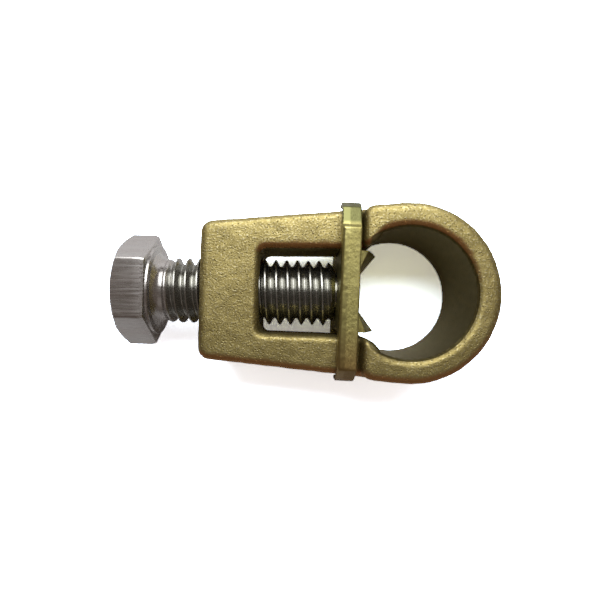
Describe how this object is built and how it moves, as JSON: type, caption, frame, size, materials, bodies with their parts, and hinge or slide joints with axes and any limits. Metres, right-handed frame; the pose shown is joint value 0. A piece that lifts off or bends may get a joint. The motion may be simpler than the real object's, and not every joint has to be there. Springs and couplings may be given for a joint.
{
  "type": "earth rod clamp",
  "caption": "Cast brass clamp with a round eye for an earth rod, a sliding toothed brass plate and a hexagon-head stainless screw.",
  "frame": {"origin": "centre of the rod eye, halfway through its thickness", "axes": "+X along the screw from its head towards the rod eye, +Z along the rod"},
  "size_m": [0.0525, 0.0248, 0.0178],
  "materials": {
    "cast_brass": "shot-blasted casting",
    "stamped_brass": "sheared and rolled sheet",
    "stainless_steel": "bright drawn bar, rolled thread"
  },
  "bodies": {
    "clamp": {"clamp_body": "cast_brass"},
    "plate": {"pressure_plate": "stamped_brass"},
    "screw": {"hex_screw": "stainless_steel"}
  },
  "joints": [
    {"name": "plate_slide", "type": "slide", "parent": "clamp", "child": "plate", "axis": [1, 0, 0], "range_m": [-0.00953, 0]},
    {"name": "screw_turn", "type": "hinge", "parent": "plate", "child": "screw", "pos_m": [-0.0097, 0, 0], "axis": [1, 0, 0], "range_deg": [-2160, 0]}
  ],
  "couplings": [
    {"joint": "screw_turn", "follows": "plate_slide", "rad_per_m": 3957.9}
  ]
}
